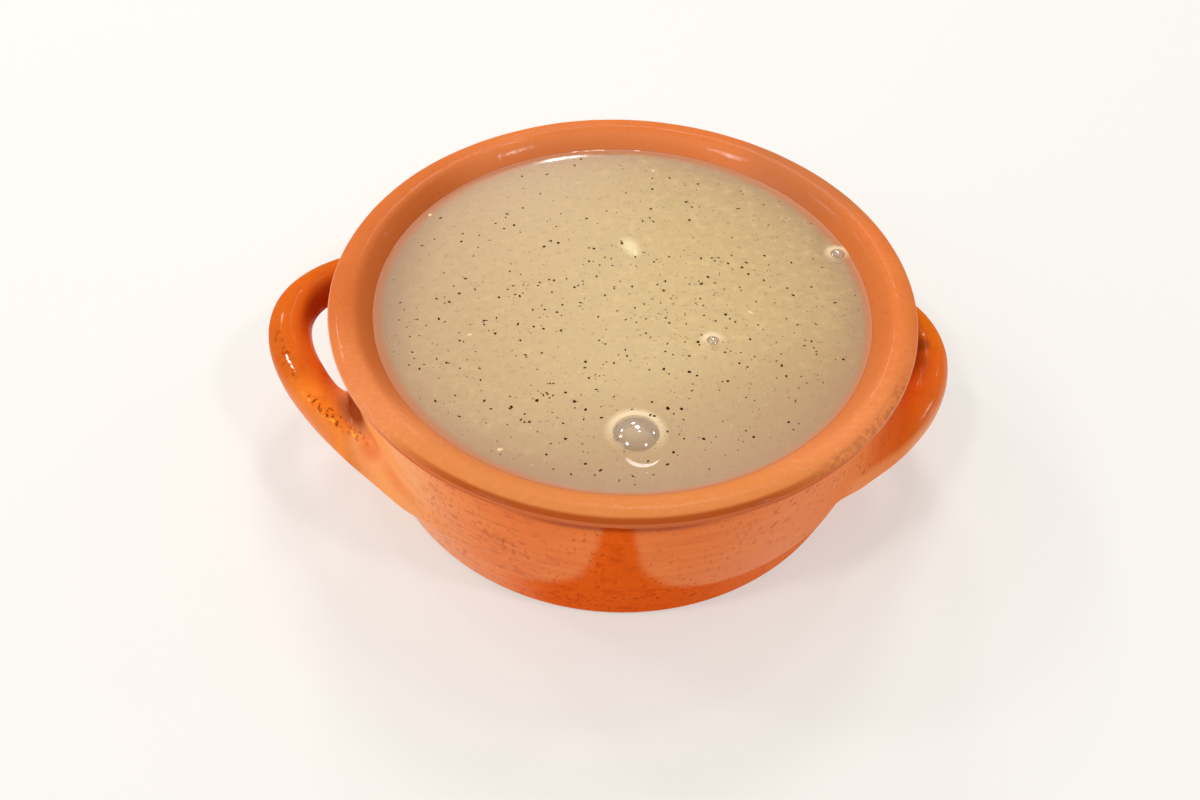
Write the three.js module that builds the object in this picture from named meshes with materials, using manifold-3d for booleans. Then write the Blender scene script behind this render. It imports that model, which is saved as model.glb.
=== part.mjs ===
// A bowl of walnut soup: a round clay bowl with two loop handles, filled nearly to the brim.
// Millimetres, +Z up. The origin is on the floor, on the bowl's axis, and the handles lie along X.

import * as THREE from 'three';
import { mergeVertices } from 'three/addons/utils/BufferGeometryUtils.js';
import Module from 'manifold-3d';

const wasm = await Module();
wasm.setup();

// Driving dimensions of the bowl
const rimRadius = 75; // outermost edge of the lip
const rimHeight = 51.6; // of that edge above the floor
const lipWidth = 10.8; // from the outermost edge in to the soup
const lipOverhang = 1.9; // of the lip past the wall below it
const crestRise = 1.3; // top of the lip above its outermost edge
const crestRadius = 71; // of that top
const footRadius = 64.6; // flat the bowl stands on
const footRound = 2.8; // between that flat and the wall
const floorThickness = 7.5;
const cavityRadius = 61.5; // inside, low down
const cavityRound = 12; // between the inner wall and the floor
const cavityHeel = 1; // how far that round leans in
const roundSides = 80;
const curveDivisions = 4;

// The wall's swell on its way up, as two control points of one curve
const swell = {
  low: { radius: 70.2, height: 13 },
  high: { radius: 72.6, height: 28 },
};

// The lip's edge, as depths below the rim's height, from the wall up
const edgeDepths = { wall: 3.6, cove: 2.4, corner: 1.6, round: 1.2, upright: 0.4 };
const cornerInset = 0.6; // of the edge's lower corner from the outermost edge

// The lip's top, as distances of control points from its crest and from the soup's edge
const crestOuter = 1.6;
const crestInner = 3;
const slopeFoot = { reach: 1.6, rise: 2.4 };

// The inner wall just under the soup's level, where it turns down
const innerTurn = { inset: 0.8, control: 0.7, controlDepth: 2, depth: 6 };

// Driving dimensions of the soup
const soupDepthBelowRim = 3.7;
const wallClearance = 0.3;
const domeSides = 14;

// Bubbles and one fleck of foam that stand on the soup: place, radius and height
const domes = [
  { x: 4.9, y: -46.6, radius: 5.4, height: 2.3 },
  { x: 23.1, y: -15.4, radius: 1.75, height: 0.9 },
  { x: 58.1, y: 20.3, radius: 2.2, height: 1.0 },
  { x: 1.6, y: 17.9, radius: 2.4, height: 0.5 },
];

// Driving dimensions of the handles: a round roll of clay, its ends thinned, sunk in the wall and flared
const rollRadius = 5.8;
const rollSides = 24;
const rollSteps = 40;
const endRadius = 4.2; // of the roll inside the wall
const endShare = 0.08; // of the roll's length, over which it thins
const rootRadius = 66.7; // from the bowl's axis to the roll's ends
const endCrowding = 0.6; // how much closer the steps are at the ends
const flareReach = 7; // how far out from the wall the roll begins to flare
const flareWidth = 3.5; // what the flare adds around the roll at the wall

// Where each roll starts and ends: the angle from +X, the drop below the rim, how far the curve
// is pulled outward there and how far it leans towards the handle's middle
const handles = [
  {
    outward: -1,
    middleDrop: 18,
    back: { angle: 157, drop: 20, pull: 48.4, lean: 12.4 },
    front: { angle: 232, drop: 29, pull: 51.5, lean: 28.5 },
  },
  {
    outward: 1,
    middleDrop: 22,
    back: { angle: 22.6, drop: 22, pull: 33.7, lean: 8.5 },
    front: { angle: -38, drop: 24.5, pull: 35.5, lean: 19.5 },
  },
];

const crestHeight = rimHeight + crestRise;
const soupLevel = rimHeight - soupDepthBelowRim;
const soupRadius = rimRadius - lipWidth;
const wallTopRadius = rimRadius - lipOverhang;

function toSolid(geometry) {
  const bare = geometry.clone();
  bare.deleteAttribute('normal');
  bare.deleteAttribute('uv');
  const merged = mergeVertices(bare, 1e-4);
  return new wasm.Manifold(new wasm.Mesh({
    numProp: 3,
    vertProperties: new Float32Array(merged.attributes.position.array),
    triVerts: new Uint32Array(merged.index.array),
  }));
}

function toGeometry(solid) {
  const mesh = solid.getMesh();
  const geometry = new THREE.BufferGeometry();
  geometry.setAttribute('position', new THREE.BufferAttribute(mesh.vertProperties, 3));
  geometry.setIndex(new THREE.BufferAttribute(mesh.triVerts, 1));
  geometry.computeVertexNormals();
  return geometry;
}

// Turns an outline of radius and height about the Z axis. It starts and ends on the axis.
function turned(outline) {
  const geometry = new THREE.LatheGeometry(outline.getPoints(curveDivisions), roundSides);
  return toSolid(geometry.rotateX(Math.PI / 2));
}

// The bowl's section: underside, wall, edge, lip, inner wall and the cavity's floor
function bowlSection() {
  const section = new THREE.Path();
  const depth = (name) => rimHeight - edgeDepths[name];
  section.moveTo(0, 0);
  section.lineTo(footRadius, 0);
  section.quadraticCurveTo(footRadius + footRound * 0.75, 0, footRadius + footRound, footRound);
  section.bezierCurveTo(
    swell.low.radius, swell.low.height,
    swell.high.radius, swell.high.height,
    wallTopRadius, depth('wall'),
  );
  section.quadraticCurveTo(wallTopRadius, depth('cove'), rimRadius - cornerInset, depth('corner'));
  section.quadraticCurveTo(rimRadius, depth('round'), rimRadius, depth('upright'));
  section.bezierCurveTo(
    rimRadius, rimHeight + edgeDepths.upright,
    crestRadius + crestOuter, crestHeight,
    crestRadius, crestHeight,
  );
  section.bezierCurveTo(
    crestRadius - crestInner, crestHeight,
    soupRadius + slopeFoot.reach, soupLevel + slopeFoot.rise,
    soupRadius, soupLevel,
  );
  innerWallDown(section, soupRadius, cavityRadius);
  section.lineTo(0, floorThickness);
  return section;
}

// From the soup's edge down the inner wall and round to the cavity's floor
function innerWallDown(section, edge, side) {
  section.quadraticCurveTo(
    edge - innerTurn.control, soupLevel - innerTurn.controlDepth,
    edge - innerTurn.inset, soupLevel - innerTurn.depth,
  );
  section.lineTo(side, floorThickness + cavityRound);
  section.quadraticCurveTo(side - cavityHeel, floorThickness, side - cavityRound, floorThickness);
}

// The soup's section: the cavity's shape, drawn in by the clearance, up to the soup's level
function soupSection() {
  const bottom = floorThickness + wallClearance;
  const side = cavityRadius - wallClearance;
  const edge = soupRadius - wallClearance;
  const section = new THREE.Path();
  section.moveTo(0, bottom);
  section.lineTo(side - cavityRound, bottom);
  section.quadraticCurveTo(side - cavityHeel, bottom, side, bottom + cavityRound);
  section.lineTo(edge - innerTurn.inset, soupLevel - innerTurn.depth);
  section.quadraticCurveTo(
    edge - innerTurn.control, soupLevel - innerTurn.controlDepth,
    edge, soupLevel,
  );
  section.lineTo(0, soupLevel);
  return section;
}

// Outer radius of the wall at a height, for the flare of the handles' roots
const wallOutline = bowlSection().getPoints(curveDivisions * 6).filter((point) => point.x > footRadius);
function wallRadiusAt(height) {
  const above = wallOutline.findIndex((point) => point.y >= height);
  const low = wallOutline[above - 1];
  const high = wallOutline[above];
  return THREE.MathUtils.mapLinear(height, low.y, high.y, low.x, high.x);
}

// A roll's end inside the wall
function rootPoint({ angle, drop }) {
  const turn = THREE.MathUtils.degToRad(angle);
  return new THREE.Vector3(rootRadius * Math.cos(turn), rootRadius * Math.sin(turn), rimHeight - drop);
}

// The curve's control point beside a root
function controlPoint(root, outward, lean, middleDrop) {
  const point = rootPoint(root);
  return new THREE.Vector3(point.x + outward * root.pull, point.y + lean, rimHeight - middleDrop);
}

// Share of a roll's length at a share of its steps, which are closer together towards its ends
function lengthShare(share) {
  return share - endCrowding * Math.sin(2 * Math.PI * share) / (2 * Math.PI);
}

// A roll's middle line, stepped in that way
class RollCurve extends THREE.CubicBezierCurve3 {
  getUtoTmapping(share, distance) {
    return super.getUtoTmapping(lengthShare(share), distance);
  }
}

// Thins a roll towards its ends and flares it over the wall where it comes near
function blendIntoWall(roll, stations) {
  const position = roll.attributes.position;
  const point = new THREE.Vector3();
  for (let index = 0; index < position.count; index += 1) {
    point.fromBufferAttribute(position, index);
    const distances = stations.map((station) => station.distanceToSquared(point));
    const nearest = distances.indexOf(Math.min(...distances));
    const along = lengthShare(nearest / rollSteps);
    const thinning = THREE.MathUtils.smoothstep(Math.min(along, 1 - along), 0, endShare);
    const away = point.clone().sub(stations[nearest]).divideScalar(rollRadius);
    const radius = THREE.MathUtils.lerp(endRadius, rollRadius, thinning);
    point.copy(stations[nearest]).addScaledVector(away, radius);
    const clearance = Math.hypot(point.x, point.y) - wallRadiusAt(point.z);
    const nearness = THREE.MathUtils.clamp(1 - clearance / flareReach, 0, 1);
    const buried = THREE.MathUtils.smoothstep(-clearance, 0, flareWidth);
    const wallNormal = new THREE.Vector3(point.x, point.y, 0).normalize();
    away.addScaledVector(wallNormal, -away.dot(wallNormal));
    point.addScaledVector(away, flareWidth * nearness * nearness * (1 - buried));
    position.setXYZ(index, point.x, point.y, point.z);
  }
}

// One loop handle, swept along a curve from its root at the back to the one at the front
function handleSolid({ outward, middleDrop, back, front }) {
  const path = new RollCurve(
    rootPoint(back),
    controlPoint(back, outward, -back.lean, middleDrop),
    controlPoint(front, outward, front.lean, middleDrop),
    rootPoint(front),
  );
  const section = new THREE.Shape().absarc(0, 0, rollRadius, 0, 2 * Math.PI);
  const settings = { steps: rollSteps, curveSegments: rollSides / 2, extrudePath: path };
  const roll = new THREE.ExtrudeGeometry(section, settings);
  blendIntoWall(roll, path.getSpacedPoints(rollSteps));
  return toSolid(roll);
}

function domeSolid({ x, y, radius, height }) {
  const geometry = new THREE.SphereGeometry(1, domeSides, domeSides / 2);
  geometry.rotateX(Math.PI / 2);
  geometry.scale(radius, radius, height);
  geometry.translate(x, y, soupLevel);
  return toSolid(geometry);
}

const bowlSolid = handles.reduce((solid, handle) => solid.add(handleSolid(handle)), turned(bowlSection()));
const soupSolid = domes.reduce((solid, dome) => solid.add(domeSolid(dome)), turned(soupSection()));

const glazedClay = new THREE.MeshStandardMaterial({ color: 0xdd7240, roughness: 0.3, metalness: 0 });
const walnutSoup = new THREE.MeshStandardMaterial({ color: 0xc3aa83, roughness: 0.35, metalness: 0 });

const bowl = new THREE.Mesh(toGeometry(bowlSolid), glazedClay);
bowl.name = 'bowl';
const soup = new THREE.Mesh(toGeometry(soupSolid), walnutSoup);
soup.name = 'soup';

const bowlOfSoup = new THREE.Group();
bowlOfSoup.add(bowl, soup);

export default bowlOfSoup;
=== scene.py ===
from math import cos, pi, radians, sin, sqrt
from random import Random

import bpy
import numpy as np
from mathutils import Matrix, Vector, noise
from mathutils.geometry import interpolate_bezier


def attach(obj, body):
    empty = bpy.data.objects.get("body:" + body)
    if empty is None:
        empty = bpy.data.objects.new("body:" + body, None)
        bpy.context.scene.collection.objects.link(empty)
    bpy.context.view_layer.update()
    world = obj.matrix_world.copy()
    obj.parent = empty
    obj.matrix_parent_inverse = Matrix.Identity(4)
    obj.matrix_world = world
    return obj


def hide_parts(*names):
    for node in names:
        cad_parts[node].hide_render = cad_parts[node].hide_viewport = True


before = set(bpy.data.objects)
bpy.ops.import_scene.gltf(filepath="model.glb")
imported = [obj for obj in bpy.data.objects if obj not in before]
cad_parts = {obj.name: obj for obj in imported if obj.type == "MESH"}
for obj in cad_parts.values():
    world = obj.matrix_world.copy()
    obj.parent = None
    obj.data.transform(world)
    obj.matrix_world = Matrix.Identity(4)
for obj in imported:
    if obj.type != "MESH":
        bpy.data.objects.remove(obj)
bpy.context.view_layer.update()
print("frame loaded")

mm = 0.001  # sizes below are in millimetres, meshes in metres

bowlSizes = {
    "rimRadius": 75.0,  # outermost edge of the lip
    "rimHeight": 51.6,  # of that edge above the floor
    "lipWidth": 10.8,  # from the outermost edge in to the soup
    "lipOverhang": 1.9,
    "crestRise": 1.3,
    "crestRadius": 71.0,
    "footRadius": 64.6,
    "footRound": 2.8,
    "floorThickness": 7.5,
    "cavityRadius": 61.5,
    "cavityRound": 12.0,
    "cavityHeel": 1.0,
    "swellLow": (70.2, 13.0),
    "swellHigh": (72.6, 28.0),
    "soupDepth": 3.7,  # soup's level below the rim
    "edgeDepths": (3.6, 2.4, 1.6, 1.2, 0.4),  # of the lip's edge, from the wall up
    "cornerInset": 0.6,
    "crestOuter": 1.6,  # these two: control points of the lip's top, from its crest
    "crestInner": 3.0,
    "slopeFoot": (1.6, 2.4),  # the last control point of its inner slope, out and up from the soup's edge
    "innerControl": (0.7, 2.0),  # where the inner wall turns down: in and down from the soup's edge
    "innerTurn": (0.8, 6.0),
    "stepsAround": 288,
}

handleSizes = {
    "rollRadius": 5.8,
    "endRadius": 4.2,  # of the roll inside the wall
    "endShare": 0.08,  # of its length, over which it thins
    "rootRadius": 66.7,
    "fillet": 5.5,  # how far the smeared clay reaches at the roots
    "smearFoot": 3.0,  # it is smeared between these two heights
    "smearTop": 47.5,
    "merging": 0.3,  # points of the roots that lie closer than this are made one
    "ringSteps": 190,
    "bevelSteps": 20,
    "left": {
        "outward": -1,
        "middleDrop": 18.0,
        "back": {"angle": 157.0, "drop": 20.0, "pull": 48.4, "lean": 12.4},
        "front": {"angle": 232.0, "drop": 29.0, "pull": 51.5, "lean": 28.5},
    },
    "right": {
        "outward": 1,
        "middleDrop": 22.0,
        "back": {"angle": 22.6, "drop": 22.0, "pull": 33.7, "lean": 8.5},
        "front": {"angle": -38.0, "drop": 24.5, "pull": 35.5, "lean": 19.5},
    },
}

rimHeight = bowlSizes["rimHeight"]
rimRadius = bowlSizes["rimRadius"]
crestHeight = rimHeight + bowlSizes["crestRise"]
crestRadius = bowlSizes["crestRadius"]
soupLevel = rimHeight - bowlSizes["soupDepth"]
soupRadius = rimRadius - bowlSizes["lipWidth"]
wallTopRadius = rimRadius - bowlSizes["lipOverhang"]


# Working with meshes


def selectOnly(piece):
    bpy.ops.object.select_all(action="DESELECT")
    piece.select_set(True)
    bpy.context.view_layer.objects.active = piece


# Adds a primitive, and leaves only that selected
def addPrimitive(operator, **settings):
    bpy.ops.object.select_all(action="DESELECT")
    operator(**settings)
    return bpy.context.object


def applyModifier(piece, kind, **settings):
    selectOnly(piece)
    modifier = piece.modifiers.new(kind.title(), kind)
    for name, value in settings.items():
        setattr(modifier, name, value)
    bpy.ops.object.modifier_apply(modifier=modifier.name)


def readPoints(piece):
    flat = np.empty(len(piece.data.vertices) * 3)
    piece.data.vertices.foreach_get("co", flat)
    return flat.reshape(-1, 3)


def writePoints(piece, points):
    piece.data.vertices.foreach_set("co", points.ravel())
    piece.data.update()


def readNormals(piece):
    flat = np.empty(len(piece.data.vertices) * 3)
    piece.data.vertices.foreach_get("normal", flat)
    return flat.reshape(-1, 3)


def selectPoints(piece, chosen):
    bpy.ops.object.mode_set(mode="EDIT")
    bpy.ops.mesh.select_mode(type="VERT")
    bpy.ops.mesh.select_all(action="DESELECT")
    bpy.ops.object.mode_set(mode="OBJECT")
    piece.data.vertices.foreach_set("select", chosen)
    bpy.ops.object.mode_set(mode="EDIT")
    bpy.ops.mesh.select_mode(type="VERT")


def smoothstep(value, low, high):
    share = np.clip((value - low) / (high - low), 0, 1)  # high may be the lower one, which turns it round
    return share * share * (3 - 2 * share)


# One stretch of a section, through two, three or four points: a line, a quadratic or a cubic curve
def addStretch(curve, steps, *points):
    knots = [Vector((radius, 0, height)) * mm for radius, height in points]
    if len(knots) == 2:
        start, end = knots
        knots = [start, start.lerp(end, 1 / 3), end.lerp(start, 1 / 3), end]
    if len(knots) == 3:
        start, corner, end = knots
        knots = [start, start.lerp(corner, 2 / 3), end.lerp(corner, 2 / 3), end]
    spline = curve.splines.new("BEZIER")
    spline.resolution_u = steps
    spline.bezier_points.add(1)
    for knot in spline.bezier_points:
        knot.handle_left_type = knot.handle_right_type = "FREE"
    first, last = spline.bezier_points
    first.co, first.handle_left, first.handle_right = knots[0], knots[0], knots[1]
    last.co, last.handle_left, last.handle_right = knots[3], knots[2], knots[3]


# Draws the stretches as one curve and spins it about the bowl's axis
def spinSection(name, stretches, stepsAround):
    piece = addPrimitive(bpy.ops.curve.primitive_bezier_curve_add, location=(0, 0, 0))
    piece.name = name
    piece.data.splines.clear()
    for steps, *points in stretches:
        addStretch(piece.data, steps, *points)
    bpy.ops.object.convert(target="MESH")
    bpy.ops.object.mode_set(mode="EDIT")
    bpy.ops.mesh.select_all(action="SELECT")
    bpy.ops.mesh.remove_doubles(threshold=1e-6)
    bpy.ops.mesh.spin(steps=stepsAround, angle=2 * pi, center=(0, 0, 0), axis=(0, 0, 1))
    bpy.ops.mesh.select_all(action="SELECT")
    bpy.ops.mesh.remove_doubles(threshold=2e-6)
    bpy.ops.mesh.normals_make_consistent(inside=False)
    bpy.ops.object.mode_set(mode="OBJECT")
    bpy.ops.object.shade_smooth()
    piece.data.name = name
    return piece


# The bowl


def innerWall(outward):
    cavity = bowlSizes["cavityRadius"] + outward
    floor = bowlSizes["floorThickness"] - outward
    roundTop = floor + bowlSizes["cavityRound"]
    roundInner = cavity - bowlSizes["cavityRound"]
    edge = soupRadius + outward
    control, turned = [(edge - inset, soupLevel - drop)
                       for inset, drop in (bowlSizes["innerControl"], bowlSizes["innerTurn"])]
    return [
        (6, (edge, soupLevel), control, turned),
        (12, turned, (cavity, roundTop)),
        (8, (cavity, roundTop), (cavity - bowlSizes["cavityHeel"], floor), (roundInner, floor)),
        (6, (roundInner, floor), (0, floor)),
    ]


def bowlStretches():
    foot, footRound = bowlSizes["footRadius"], bowlSizes["footRound"]
    wallTop, cove, corner, turn, upright = [rimHeight - depth for depth in bowlSizes["edgeDepths"]]
    cornerRadius = rimRadius - bowlSizes["cornerInset"]
    slopeOut, slopeUp = bowlSizes["slopeFoot"]
    return [
        (10, (0, 0), (foot, 0)),
        (8, (foot, 0), (foot + footRound * 0.75, 0), (foot + footRound, footRound)),
        (64, (foot + footRound, footRound), bowlSizes["swellLow"], bowlSizes["swellHigh"],
         (wallTopRadius, wallTop)),
        (8, (wallTopRadius, wallTop), (wallTopRadius, cove), (cornerRadius, corner)),
        (6, (cornerRadius, corner), (rimRadius, turn), (rimRadius, upright)),
        (16, (rimRadius, upright), (rimRadius, 2 * rimHeight - upright),
         (crestRadius + bowlSizes["crestOuter"], crestHeight), (crestRadius, crestHeight)),
        (22, (crestRadius, crestHeight), (crestRadius - bowlSizes["crestInner"], crestHeight),
         (soupRadius + slopeOut, soupLevel + slopeUp), (soupRadius, soupLevel)),
        *innerWall(0),
    ]


def rootPoint(root):
    turn = radians(root["angle"])
    reach = handleSizes["rootRadius"]
    return Vector((reach * cos(turn), reach * sin(turn), rimHeight - root["drop"]))


# The four points of a roll's middle line
def rollKnots(side):
    back, front = rootPoint(side["back"]), rootPoint(side["front"])
    height = rimHeight - side["middleDrop"]
    backPull = Vector((back.x + side["outward"] * side["back"]["pull"],
                       back.y - side["back"]["lean"], height))
    frontPull = Vector((front.x + side["outward"] * side["front"]["pull"],
                        front.y + side["front"]["lean"], height))
    return [point * mm for point in (back, backPull, frontPull, front)]


# Points along that line, and the roll's radius at each, thinner at the ends
def rollStations(side):
    line = np.array(interpolate_bezier(*rollKnots(side), 400))
    along = np.concatenate([[0], np.cumsum(np.linalg.norm(np.diff(line, axis=0), axis=1))])
    along /= along[-1]
    full, thin = handleSizes["rollRadius"], handleSizes["endRadius"]
    share = smoothstep(np.minimum(along, 1 - along), 0, handleSizes["endShare"])
    return line, (thin + (full - thin) * share) * mm


def nearestStation(points, line):
    nearest = np.empty(len(points), int)
    for start in range(0, len(points), 4000):
        part = points[start:start + 4000]
        gaps = ((part[:, None, :] - line[None]) ** 2).sum(axis=2)
        nearest[start:start + 4000] = gaps.argmin(axis=1)
    return nearest


def makeRoll(name, side):
    roll = addPrimitive(bpy.ops.curve.primitive_bezier_curve_add, location=(0, 0, 0))
    roll.name = name
    start, startPull, endPull, end = rollKnots(side)
    first, last = roll.data.splines[0].bezier_points
    for knot in (first, last):
        knot.handle_left_type = knot.handle_right_type = "FREE"
    first.co, first.handle_left, first.handle_right = start, start * 2 - startPull, startPull
    last.co, last.handle_left, last.handle_right = end, endPull, end * 2 - endPull
    roll.data.splines[0].resolution_u = handleSizes["ringSteps"]
    roll.data.bevel_depth = handleSizes["rollRadius"] * mm
    roll.data.bevel_resolution = handleSizes["bevelSteps"]
    roll.data.use_fill_caps = True
    bpy.ops.object.convert(target="MESH")
    bpy.ops.object.mode_set(mode="EDIT")
    bpy.ops.mesh.select_all(action="SELECT")
    bpy.ops.mesh.remove_doubles(threshold=1e-6)
    bpy.ops.mesh.normals_make_consistent(inside=False)
    bpy.ops.object.mode_set(mode="OBJECT")
    points = readPoints(roll)
    line, radius = rollStations(side)
    nearest = nearestStation(points, line)
    away = (points - line[nearest]) / (handleSizes["rollRadius"] * mm)
    writePoints(roll, line[nearest] + away * radius[nearest, None])
    return roll


bowl = spinSection("ClayBowl", bowlStretches(), bowlSizes["stepsAround"])
for name, side in (("leftRoll", handleSizes["left"]), ("rightRoll", handleSizes["right"])):
    roll = makeRoll(name, side)
    applyModifier(bowl, "BOOLEAN", operation="UNION", object=roll, solver="EXACT")
    bpy.data.objects.remove(roll)
print("bowl turned and handles joined:", len(bowl.data.vertices), "points")

# The wall's outer outline, height and radius, for distances from it
outline = interpolate_bezier(*[Vector((radius, height, 0)) * mm for radius, height in (
    (bowlSizes["footRadius"] + bowlSizes["footRound"], bowlSizes["footRound"]),
    bowlSizes["swellLow"], bowlSizes["swellHigh"],
    (wallTopRadius, rimHeight - bowlSizes["edgeDepths"][0]))], 200)
outline = np.array([[point.y, point.x] for point in outline])
stations = [rollStations(handleSizes[side]) for side in ("left", "right")]


def wallDistance(points):
    radius = np.interp(points[:, 2], outline[:, 0], outline[:, 1])
    ahead = np.interp(points[:, 2] + mm, outline[:, 0], outline[:, 1])
    slope = (ahead - radius) / mm
    return (np.hypot(points[:, 0], points[:, 1]) - radius) / np.sqrt(1 + slope ** 2)


def rollDistance(points):
    gaps = []
    for line, radius in stations:
        nearest = nearestStation(points, line)
        gaps.append(np.linalg.norm(points - line[nearest], axis=1) - radius[nearest])
    return np.minimum(*gaps)


# A smooth minimum of the two distances: its zero is the wall and rolls with the clay smeared between
def smearedDistance(points):
    reach = handleSizes["fillet"] * mm
    wall, roll = wallDistance(points), rollDistance(points)
    overlap = np.maximum(reach - np.abs(wall - roll), 0) / reach
    return np.minimum(wall, roll) - overlap ** 2 * reach / 4


def settleOnSmear(points, passes):
    step = 0.02 * mm
    for _ in range(passes):
        value = smearedDistance(points)
        slope = np.stack([(smearedDistance(points + axis * step) - value) / step
                          for axis in np.eye(3)], axis=1)
        steepness = np.maximum((slope ** 2).sum(axis=1), 0.2)
        points = points - (value / steepness)[:, None] * slope
    return points


def nearRoots(points):
    reach = handleSizes["fillet"] * mm
    wall, roll = wallDistance(points), rollDistance(points)
    low, high = handleSizes["smearFoot"] * mm, handleSizes["smearTop"] * mm
    outside = (wall > -0.3 * mm) & (points[:, 2] < high)
    return outside & (np.maximum(wall, roll) < reach) & (points[:, 2] > low)


selectOnly(bowl)
selectPoints(bowl, nearRoots(readPoints(bowl)))
bpy.ops.mesh.quads_convert_to_tris()
bpy.ops.mesh.remove_doubles(threshold=handleSizes["merging"] * mm)
bpy.ops.object.mode_set(mode="OBJECT")
for _ in range(3):
    points = readPoints(bowl)
    chosen = nearRoots(points)
    points[chosen] = settleOnSmear(points[chosen], 2)
    writePoints(bowl, points)
    selectPoints(bowl, chosen)
    bpy.ops.mesh.vertices_smooth(factor=0.5, repeat=2)
    bpy.ops.object.mode_set(mode="OBJECT")
points = readPoints(bowl)
points[chosen] = settleOnSmear(points[chosen], 3)
writePoints(bowl, points)
print("handle roots smeared into the wall")

finishSizes = {
    "ringPitch": 2.6,  # millimetres between throwing lines
    "ringDepth": 0.05,
    "waverDepth": 0.25,  # how far the hand-made shape wanders inward
    "waverLength": 38.0,
    "dimpleDepth": 0.09,
    "dimpleLength": 7.0,
    "lipStart": (67.5, 70.5),  # radii between which they set in on the lip
    "lipAbove": 45.0,  # the height from which the lip counts
    "wallOutside": 66.5,  # the radius from which the wall counts
    "footFade": (0.5, 6.0),  # heights between which they set in above the floor
}


# Throwing lines and the slight waver of a thing made by hand, all cut inward
def handMadeDepth(point):
    place = Vector(point) / mm
    spread = 1 / finishSizes["waverLength"]
    waver = 0.5 + 0.5 * noise.noise(place * spread)
    dimple = 0.5 + 0.5 * noise.noise(place / finishSizes["dimpleLength"])
    phase = place.z / finishSizes["ringPitch"] + 1.5 * noise.noise(place * 0.02)
    ring = 0.5 + 0.5 * noise.noise(Vector((place.x * 0.01, place.y * 0.01, phase * 2)))
    return (waver * finishSizes["waverDepth"] + dimple * finishSizes["dimpleDepth"]
            + ring * finishSizes["ringDepth"])


points, normals = readPoints(bowl), readNormals(bowl)
radii = np.hypot(points[:, 0], points[:, 1]) / mm
heights = points[:, 2] / mm
high = heights > finishSizes["lipAbove"]
wallSide = ~high & (radii > finishSizes["wallOutside"])
outer = np.maximum(smoothstep(radii, *finishSizes["lipStart"]) * high, wallSide)
outer *= smoothstep(heights, *finishSizes["footFade"])
depths = np.array([handMadeDepth(point) for point in points]) * outer * mm
writePoints(bowl, points - normals * depths[:, None])
selectOnly(bowl)
bpy.ops.object.shade_smooth()
print("bowl finished:", len(bowl.data.polygons), "faces")


# The soup

soupSizes = {
    "meniscusWidth": 1.8,
    "meniscusRise": 0.16,
    "contact": 0.12,  # how much wider the soup is where it wets the slope above its level
    "stepsAround": 240,
    "waveDepth": 0.05,
    "waveLength": 11.0,
    "calmEdge": (63.0, 58.0),  # radii between which the waves set in
    "sunk": 0.05,  # how far the soup reaches into the clay, so that no gap shows
    "filmThickness": 0.06,
}

# Bubbles: place, radius and height of the film, and of the collar of soup that it pulls up
bubbles = {
    "LargeBubble": {"x": 4.7, "y": -46.5, "radius": 5.55, "height": 2.2, "collar": 0.2, "width": 1.6,
                    "depth": 0.9},  # from front to back, as a share of its width
    "SmallBubble": {"x": 23.1, "y": -15.4, "radius": 1.65, "height": 0.85, "collar": 0.24, "width": 1.0},
    "WallBubble": {"x": 58.1, "y": 20.3, "radius": 2.05, "height": 0.95, "collar": 0.26, "width": 1.0},
    "TinyBubbleLeft": {"x": 0.1, "y": -48.6, "radius": 0.8, "height": 0.45, "collar": 0.12, "width": 0.35},
    "TinyBubbleRight": {"x": 23.4, "y": -17.9, "radius": 0.55, "height": 0.35, "collar": 0.08, "width": 0.3},
    "TinyBubbleWall": {"x": 58.6, "y": 24.0, "radius": 0.6, "height": 0.35, "collar": 0.08, "width": 0.3},
}


def soupStretches():
    sunk, level, rise = soupSizes["sunk"], soupLevel, soupSizes["meniscusRise"]
    inner = soupRadius - soupSizes["meniscusWidth"]
    contact = (soupRadius + soupSizes["contact"], level + rise)
    stretches = [
        (84, (0, level), (inner, level)),
        (8, (inner, level), (inner + soupSizes["meniscusWidth"] * 0.8, level), contact),
        (2, contact, (soupRadius + sunk, level)),
        *innerWall(sunk),
    ]
    return stretches


soup = spinSection("WalnutSoup", soupStretches(), soupSizes["stepsAround"])


def bubbleGap(points, bubble):
    aside, ahead = points[:, 0] / mm - bubble["x"], points[:, 1] / mm - bubble["y"]
    return np.hypot(aside, ahead / bubble.get("depth", 1.0))


# Finer faces round each bubble, so that its collar shows as a shape
for bubble in bubbles.values():
    points = readPoints(soup)
    near = bubbleGap(points, bubble) < bubble["radius"] + 3 * bubble["width"]
    near &= points[:, 2] > (soupLevel - 0.01) * mm
    selectOnly(soup)
    selectPoints(soup, near)
    bpy.ops.mesh.subdivide(number_cuts=2 if bubble["radius"] > 1 else 3)
    bpy.ops.object.mode_set(mode="OBJECT")


# How far the soup's surface stands above or below its level: slow waves, and a collar at each bubble
def soupLift(points):
    calm = smoothstep(np.hypot(points[:, 0], points[:, 1]) / mm, *soupSizes["calmEdge"])
    places = [Vector((x, y, 0)) / mm / soupSizes["waveLength"] for x, y, _ in points]
    lift = np.array([noise.noise(place) for place in places]) * soupSizes["waveDepth"] * calm
    for bubble in bubbles.values():
        gap = bubbleGap(points, bubble)
        outside = np.maximum(gap - bubble["radius"], 0) / bubble["width"]
        inside = np.clip(1 - gap / bubble["radius"], 0, 1)
        lift += bubble["collar"] * np.exp(-outside ** 1.4) * np.exp(-(inside * 4) ** 1.5)
    return lift


points = readPoints(soup)
top = points[:, 2] > (soupLevel - 0.01) * mm
points[top, 2] += soupLift(points[top]) * mm
writePoints(soup, points)
print("soup poured:", len(soup.data.polygons), "faces")


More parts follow.
